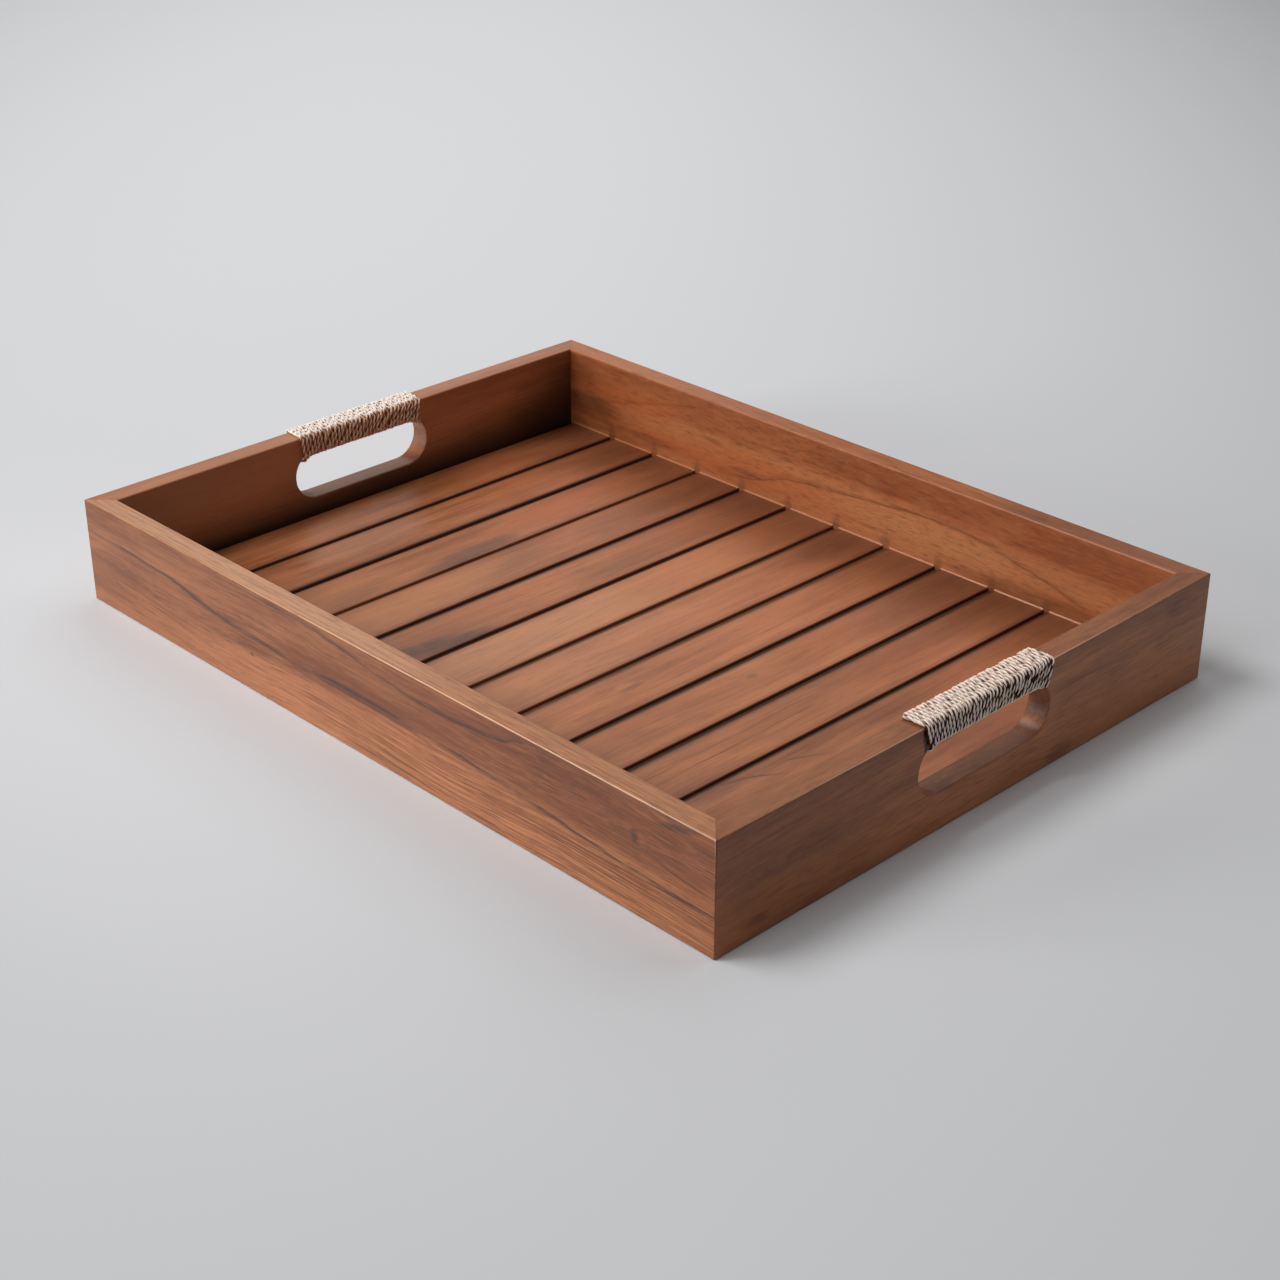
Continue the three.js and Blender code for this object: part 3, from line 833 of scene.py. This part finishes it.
# Marks in the front board, along X and across in Z
FRONT_STREAK = [
    (-240, 42.6), (-160, 40.2), (-127, 35), (-85, 32.9), (-45, 31.1), (-12, 33.4),
    (30, 32.6), (90, 30.2), (135, 27.4), (160, 24.7), (240, 21.3),
]
FRONT_ARCH = [
    (-85, 57.0), (-33, 56.3), (-12, 53.9), (24, 49.6), (54, 47.8),
    (78, 48.7), (102, 50.9), (114, 54.8), (129, 58.0),
]
FRONT_TOP = [(-240, 59.4), (240, 59.4)]
FRONT_MARKS = [
    # Pale foot, browner upper half and broad brown patches
    zone([(-240, 12), (0, 16), (240, 10)], -8.0, 0.25, HONEY),
    zone([(-240, 44), (0, 36), (240, 26)], 9.0, 0.35, BROWN),
    patch(-195, 22, 95.0, 40.0, 0.3, BROWN),
    patch(0, 36, 90.0, 10.0, 0.85, BROWN),
    patch(150, 32, 120.0, 9.0, 0.5, BROWN),
    patch(180, 42, 110.0, 18.0, 0.45, BROWN),
    patch(-60, 14, 150.0, 9.0, 0.25, HONEY),
    # Paler top face
    on(UPWARD, zone(FRONT_TOP, 0.3, 0.8, HONEY)),
    on(UPWARD, patch(-120, 60, 210.0, 12.0, 0.3, PALE_TAN)),
    # Fine dark and pale lines
    grained(patch(150, 11, 220.0, 20.0, 0.7, LINE), 40.0, 0.7),
    grained(patch(100, 11, 280.0, 20.0, 0.9, HONEY), 50.0, 0.8),
    grained(patch(170, 46, 190.0, 20.0, 0.85, LINE), 25.0, 0.75),
    on(UPWARD, grained(zone(FRONT_TOP, 0.3, 0.35, LINE), 60.0, 0.9)),
    # Dark streak from end to end, with its smudges and strands
    patch(-143, 38, 30.0, 2.2, 0.5, STREAK, slant=-0.13),
    patch(-105, 36.5, 22.0, 1.4, 0.4, STREAK, slant=0.05),
    patch(0, 33, 44.0, 1.8, 0.6, STREAK),
    vein(FRONT_STREAK, 1.6, 3.0, 0.8, broken=0.7),
    vein([(-130, 33.6), (-85, 31.6), (-60, 30.6)], 0.8, 1.4, 0.6),
    vein([(-52, 29.6), (-10, 30.4), (40, 30.2)], 0.7, 1.2, 0.7),
    # Arch that hangs from the top edge
    vein(FRONT_ARCH, 3.0, 0.8, 0.8),
    vein([(-120, 53.6), (-85, 54.6), (-50, 55.6)], 0.9, 0.9, 0.5),
    # Faint lines along the foot
    vein([(-210, 21.0), (-150, 18.5), (-70, 15.0)], 1.6, 1.6, 0.35, LINE),
    vein([(-70, 12.0), (0, 10.0), (60, 8.4), (235, 5.8)], 1.2, 1.6, 0.5, LINE),
    vein([(-40, 5.0), (60, 4.0), (150, 3.0)], 1.2, 1.2, 0.5, LINE),
    # Knot by the right corner, and lines that bend round it
    vein([(206, 34.5), (216, 32.2), (238, 30.3)], 1.0, 1.4, 0.55),
    patch(191.5, 40.5, 3.2, 4.4, 0.6, STREAK),
    vein([(191, 38.4), (196, 36.4), (203, 36.2)], 1.4, 1.2, 0.65, fade=3.0),
    vein([(190, 42.8), (194, 44.4), (199, 44.6)], 1.2, 1.2, 0.5, fade=3.0),
    # Pin knot, and a stain under the top edge
    patch(-89, 21.9, 2.2, 1.1, 0.7, STREAK),
    patch(218, 56.0, 16.0, 2.6, 0.5, STREAK, slant=0.25),
    # Bright arris: worn, with a painted highlight
    on(FRONT_ARRIS, patch(60, 60, 230.0, 6.0, 0.9, PALE_TAN), 0.05),
]

# Marks in the rear board, along X and across in Z
REAR_ARCH = [
    (-88, 17.5), (-72, 19.5), (-30, 30.0), (20, 34.5), (60, 38.0),
    (78, 38.4), (100, 37.0), (130, 31.5), (174, 21.0),
]
REAR_MARKS = [
    patch(0, 30, 420.0, 120.0, 0.4, EMBER),
    on(FRONTWARD, zone(REAR_ARCH, 9.0, 0.2, BROWN)),
    on(UPWARD, patch(-150, 60, 150.0, 9.0, 0.06, PALE_TAN)),
    on(FRONTWARD, zone([(-240, 45), (240, 45)], 10.0, 0.3, BROWN)),
    patch(0, 31, 320.0, 12.0, 0.62, HONEY),
    zone(REAR_ARCH, -12.0, 0.5, HONEY),
    patch(-60, 25, 110.0, 14.0, 0.7, EMBER),
    patch(60, 26, 90.0, 12.0, 0.45, HONEY),
    patch(-180, 38, 55.0, 9.0, 0.7, EMBER),
    patch(-165, 25, 60.0, 7.0, 0.5, EMBER),
    grained(patch(0, 35, 300.0, 40.0, 0.25, LINE), 8.0, 0.8),
    vein(REAR_ARCH, 5.0, 1.5, 0.7, LINE),
    vein([(-225, 31), (-190, 35), (-160, 42), (-110, 54)], 3.0, 2.0, 0.4, LINE),
    patch(-212, 28, 36.0, 9.0, 0.55, LINE),
    patch(-150, 20, 26.0, 4.0, 0.45, LINE),
    patch(-99, 35, 9.0, 2.2, 0.4, LINE),
    patch(-74, 23, 15.0, 2.4, 0.45, GREY_BROWN),
    grained(patch(-30, 50, 100.0, 13.0, 0.45, BROWN), 14.0, 3.0),
    patch(-165, 44, 50.0, 9.0, 0.35, EMBER),
    patch(-120, 22, 60.0, 8.0, 0.35, EMBER),
    patch(40, 50, 90.0, 8.0, 0.4, BROWN),
    on(UPWARD, patch(190, 60, 100.0, 9.0, 0.48, GREY_BROWN)),
    patch(190, 48, 70.0, 13.0, 0.5, BROWN),
    patch(150, 12, 90.0, 13.0, 0.65, BROWN),
]

# Marks in the end boards, along Y and across in Z
LEFT_MARKS = [
    # Painted shade at the foot of the inner face and towards the rear corner
    on(RIGHTWARD, zone([(-170, 34), (170, 42)], -26.0, 0.9, PAINTED_SHADE_BLACK)),
    on(RIGHTWARD, patch(175, 28, 75.0, 40.0, 0.7, PAINTED_SHADE_BLACK)),
    # Painted sheen on the inner face, strongest on its upper part
    on(RIGHTWARD, patch(-110, 52, 120.0, 22.0, 0.35, PAINTED_SHEEN)),
    on(RIGHTWARD, patch(-40, 44, 170.0, 30.0, 0.2, PAINTED_SHEEN)),
    on(FRONTWARD, patch(44, 35, 9.0, 18.0, 0.45, GREY_BROWN)),
    # Painted shade on the slot's sill under the bar
    on(UPWARD, zone([(-60, 30), (60, 30)], -4.0, 0.55, GREY_BROWN)),
]
RIGHT_MARKS = [
    zone([(-180, 40), (180, 44)], -18.0, 0.3, HONEY),
    zone([(-180, 48), (180, 48)], 8.0, 0.35, GREY_BROWN),
    patch(-153, 9, 9.0, 4.0, 0.45, STREAK),
    patch(-120, 30, 60.0, 6.0, 0.3, GREY_BROWN),
    patch(60, 5, 14.0, 6.0, 0.5, GREY_BROWN),
    patch(150, 50, 9.0, 5.0, 0.4, GREY_BROWN),
    vein([(-178, 47), (-100, 49), (-60, 51)], 1.6, 2.4, 0.5, GREY_BROWN),
    vein([(60, 44), (120, 39), (178, 41)], 1.6, 2.4, 0.4, GREY_BROWN),
    grained(patch(0, 30, 260.0, 45.0, 0.25, LINE), 20.0, 1.0),
    patch(-150, 30, 110.0, 55.0, 0.45, BROWN),
    patch(120, 12, 70.0, 18.0, 0.25, HONEY),
    # Painted shade on the slot's sill under the bar
    on(UPWARD, zone([(-60, 30), (60, 30)], -4.0, 0.65, GREY_BROWN)),
    on(UPWARD, patch(-120, 60, 80.0, 9.0, 0.22, HONEY)),
    on(FRONTWARD, patch(44, 35, 9.0, 18.0, 0.8, GREY_BROWN)),
    # Painted shadow of the winding's first turn on the outer face
    on(RIGHTWARD, patch(-46.0, 56, 1.8, 6.5, 1.0, PAINTED_SHADE_BLACK)),
    on(RIGHTWARD, patch(-44.6, 49, 1.8, 6.5, 1.0, PAINTED_SHADE_BLACK)),
    # Bright arris: worn, with a painted highlight
    on(RIGHT_ARRIS, patch(0, 60, 190.0, 6.0, 0.6, PALE_TAN), 0.10),
]

# Tone of each stave from the left, the last one darker as painted shadow of the right end board, the colour
# of the painted shade in the groove to its right where that isn't the usual one, the width in millimetres
# of its dark edges, which are painted shadow, and its marks, along Y and across in X
STAVE_TONES = [-0.25, -0.03, 0.2, 0.17, 0.1, 0.56, 0.4, 0.4, 0.38, 0.05, -0.12, -0.39]
GROOVE_SHADES = {3: GROOVE_SHADE_FAINT, 6: GROOVE_SHADE_SOFT, 7: GROOVE_SHADE_SOFT}
LEFT_EDGES = {5: 1.7, 7: 0.8, 8: 1.9, 9: 2.0, 10: 2.3, 11: 1.6}
RIGHT_EDGES = {2: 1.6}
STAVE_MARKS = {
    1: [patch(60, -205, 60.0, 16.0, 0.4, BROWN)],
    2: [
        vein([(-90, -176), (-50, -172.7), (-8, -169.7), (40, -169)], 1.2, 2.2, 0.5, LINE),
        vein([(-110, -184), (-40, -180), (60, -178)], 1.0, 1.6, 0.3, LINE),
        # Painted reflection of the light through the left slot
        patch(-40, -174, 58.0, 17.0, 0.4, PAINTED_SHEEN),
    ],
    3: [
        patch(70, -134, 75.0, 13.0, 0.7, EMBER),
        patch(-8, -121, 46.0, 9.0, 0.6, slant=-0.06),
        patch(-85, -124, 30.0, 8.0, 0.35),
        patch(152, -141, 22.0, 9.0, 0.5),
        patch(-100, -136, 60.0, 18.0, 0.4, HONEY),
    ],
    4: [
        patch(95, -94, 55.0, 20.0, 0.4),
        patch(-80, -96, 110.0, 20.0, 0.5, HONEY),
        # Painted shade near the rear board
        patch(152, -94, 36.0, 30.0, 0.35, PAINTED_SHADE_BROWN),
    ],
    5: [
        patch(-92, -46, 44.0, 11.0, 0.8, slant=0.2),
        patch(-20, -66, 60.0, 6.0, 0.3, EMBER),
        patch(60, -50, 60.0, 8.0, 0.3),
        patch(150, -58, 30.0, 20.0, 0.4),
    ],
    6: [
        vein([(-110, -3), (-83, -7), (-56, -11.4), (10, -19)], 0.8, 1.0, 0.5, LINE),
        vein([(-110, -12), (-60, -17), (-20, -22)], 0.7, 0.9, 0.4, LINE),
        patch(-10, -18, 150.0, 26.0, 0.35, HONEY),
        patch(-60, -18, 120.0, 30.0, 0.16, PALE_TAN),
    ],
    7: [
        # Painted shade near the rear board
        patch(142, 16, 30.0, 16.0, 0.5),
        patch(20, 24, 70.0, 9.0, 0.3, EMBER),
        patch(-40, 19, 120.0, 30.0, 0.1, PALE_TAN),
    ],
    8: [
        patch(-54, 53, 8.0, 3.8, 0.7, HONEY),
        patch(-52, 57, 11.0, 2.4, 0.4),
        vein([(40, 62), (100, 58), (150, 50)], 1.4, 1.4, 0.3, LINE),
    ],
    9: [
        patch(3, 91, 14.0, 4.0, 0.35, HONEY),
        patch(0, 91, 5.0, 3.0, 0.4),
        # Painted shade near the rear board
        patch(125, 93, 75.0, 30.0, 0.5),
        patch(-80, 84, 40.0, 8.0, 0.3, EMBER),
    ],
    10: [
        vein([(-120, 127), (10, 126)], 0.6, 0.8, 0.5, LINE),
        vein([(-120, 134), (0, 133)], 0.6, 0.9, 0.5, LINE),
        patch(120, 126, 60.0, 12.0, 0.35),
    ],
    11: [
        vein([(-110, 152), (-83, 156), (-59, 168.8)], 1.2, 2.2, 0.8),
        vein([(-50, 160), (-29, 170)], 1.2, 2.2, 0.7),
        patch(-95, 158, 22.0, 7.0, 0.4),
    ],
    # Painted shadow of the right end board
    12: [patch(50, 205, 70.0, 30.0, 0.5, BROWN)],
}


def dress_boards():
    """The four boards of the frame, the rear one with painted reflections of the grooves at the foot of its
    inner face.
    """
    front = teak("teak_front", X, Z, 1.0, 0.15, FRONT_MARKS, lines=1.15, contrast=1.8, mottle=0.36)
    dress("front_board", front)
    # Dark painted reflections of the grooves in the foot of the rear board
    groove_reflections = [on(FRONTWARD, patch(place, 9, 4.2, 14.0, 0.35, PAINTED_SHADE_BROWN)) for place in groove_places()]
    rear = teak("teak_rear", X, Z, 2.0, 0.6, REAR_MARKS + groove_reflections, shine=0.35, contrast=2.0, mottle=0.58)
    dress("rear_board", rear)
    # The left board's tone is raised as painted light on its shaded inner face
    left = teak("teak_left", Y, Z, 3.0, 0.75, LEFT_MARKS)
    dress("left_end_board", left)
    right = teak(
        "teak_right", Y, Z, 4.0, 0.35, RIGHT_MARKS, shine=0.3,
        lines=0.65, contrast=1.8, fine=0.65, mottle=0.4,
    )
    dress("right_end_board", right)


def stave_wood(number, tone, low, high):
    """The wood of a stave whose top face lies between low and high along the tray, in millimetres."""
    marks = [
        *STAVE_MARKS[number],
        patch(110, (low + high) / 2, 90.0, 50.0, 0.3, EMBER),
        # Painted shade along both edges of the stave and towards both long boards
        rim(low, high, 3.5, 0.35, PAINTED_SHADE_BROWN),
        ends(76.0, 163.0, 0.66, PAINTED_SHADE_BROWN),
    ]
    # Painted shadow along the edges of some grooves
    if number in LEFT_EDGES:
        marks.append(edge(low, LEFT_EDGES[number], 0.9, GROOVE_SHADE))
    if number in RIGHT_EDGES:
        marks.append(edge(high, -RIGHT_EDGES[number], 0.9, GROOVE_SHADE))
    return teak(
        f"teak_stave_{number:02d}", Y, X, 4.0 + number, tone, marks, GROOVE_SHADES.get(number, GROOVE_SHADE),
        gloss=0.42, lines=0.3, contrast=1.2, fine=0.8, mottle=0.24, pale=PALE_FLOOR,
    )


def dress_staves():
    for number, tone in enumerate(STAVE_TONES, 1):
        node = f"floor_stave_{number:02d}"
        low, high = (MILLIMETRES * place for place in stave_face(node))
        dress(node, stave_wood(number, tone, low, high))


def dress_splines():
    """The loose tongues in the mitres, which have no lacquer."""
    bare = teak("bare_teak", Z, X, 40.0, tone=0.4, gloss=0.6)
    for end in ("front", "rear"):
        for side in ("left", "right"):
            dress(f"corner_spline_{end}_{side}", bare)


place_camera()
make_floor()
light_scene()
dress_boards()
dress_staves()
dress_splines()
for name, winding in WINDINGS.items():
    make_winding(name, **winding)
make_corner_film()

bpy.context.view_layer.update()
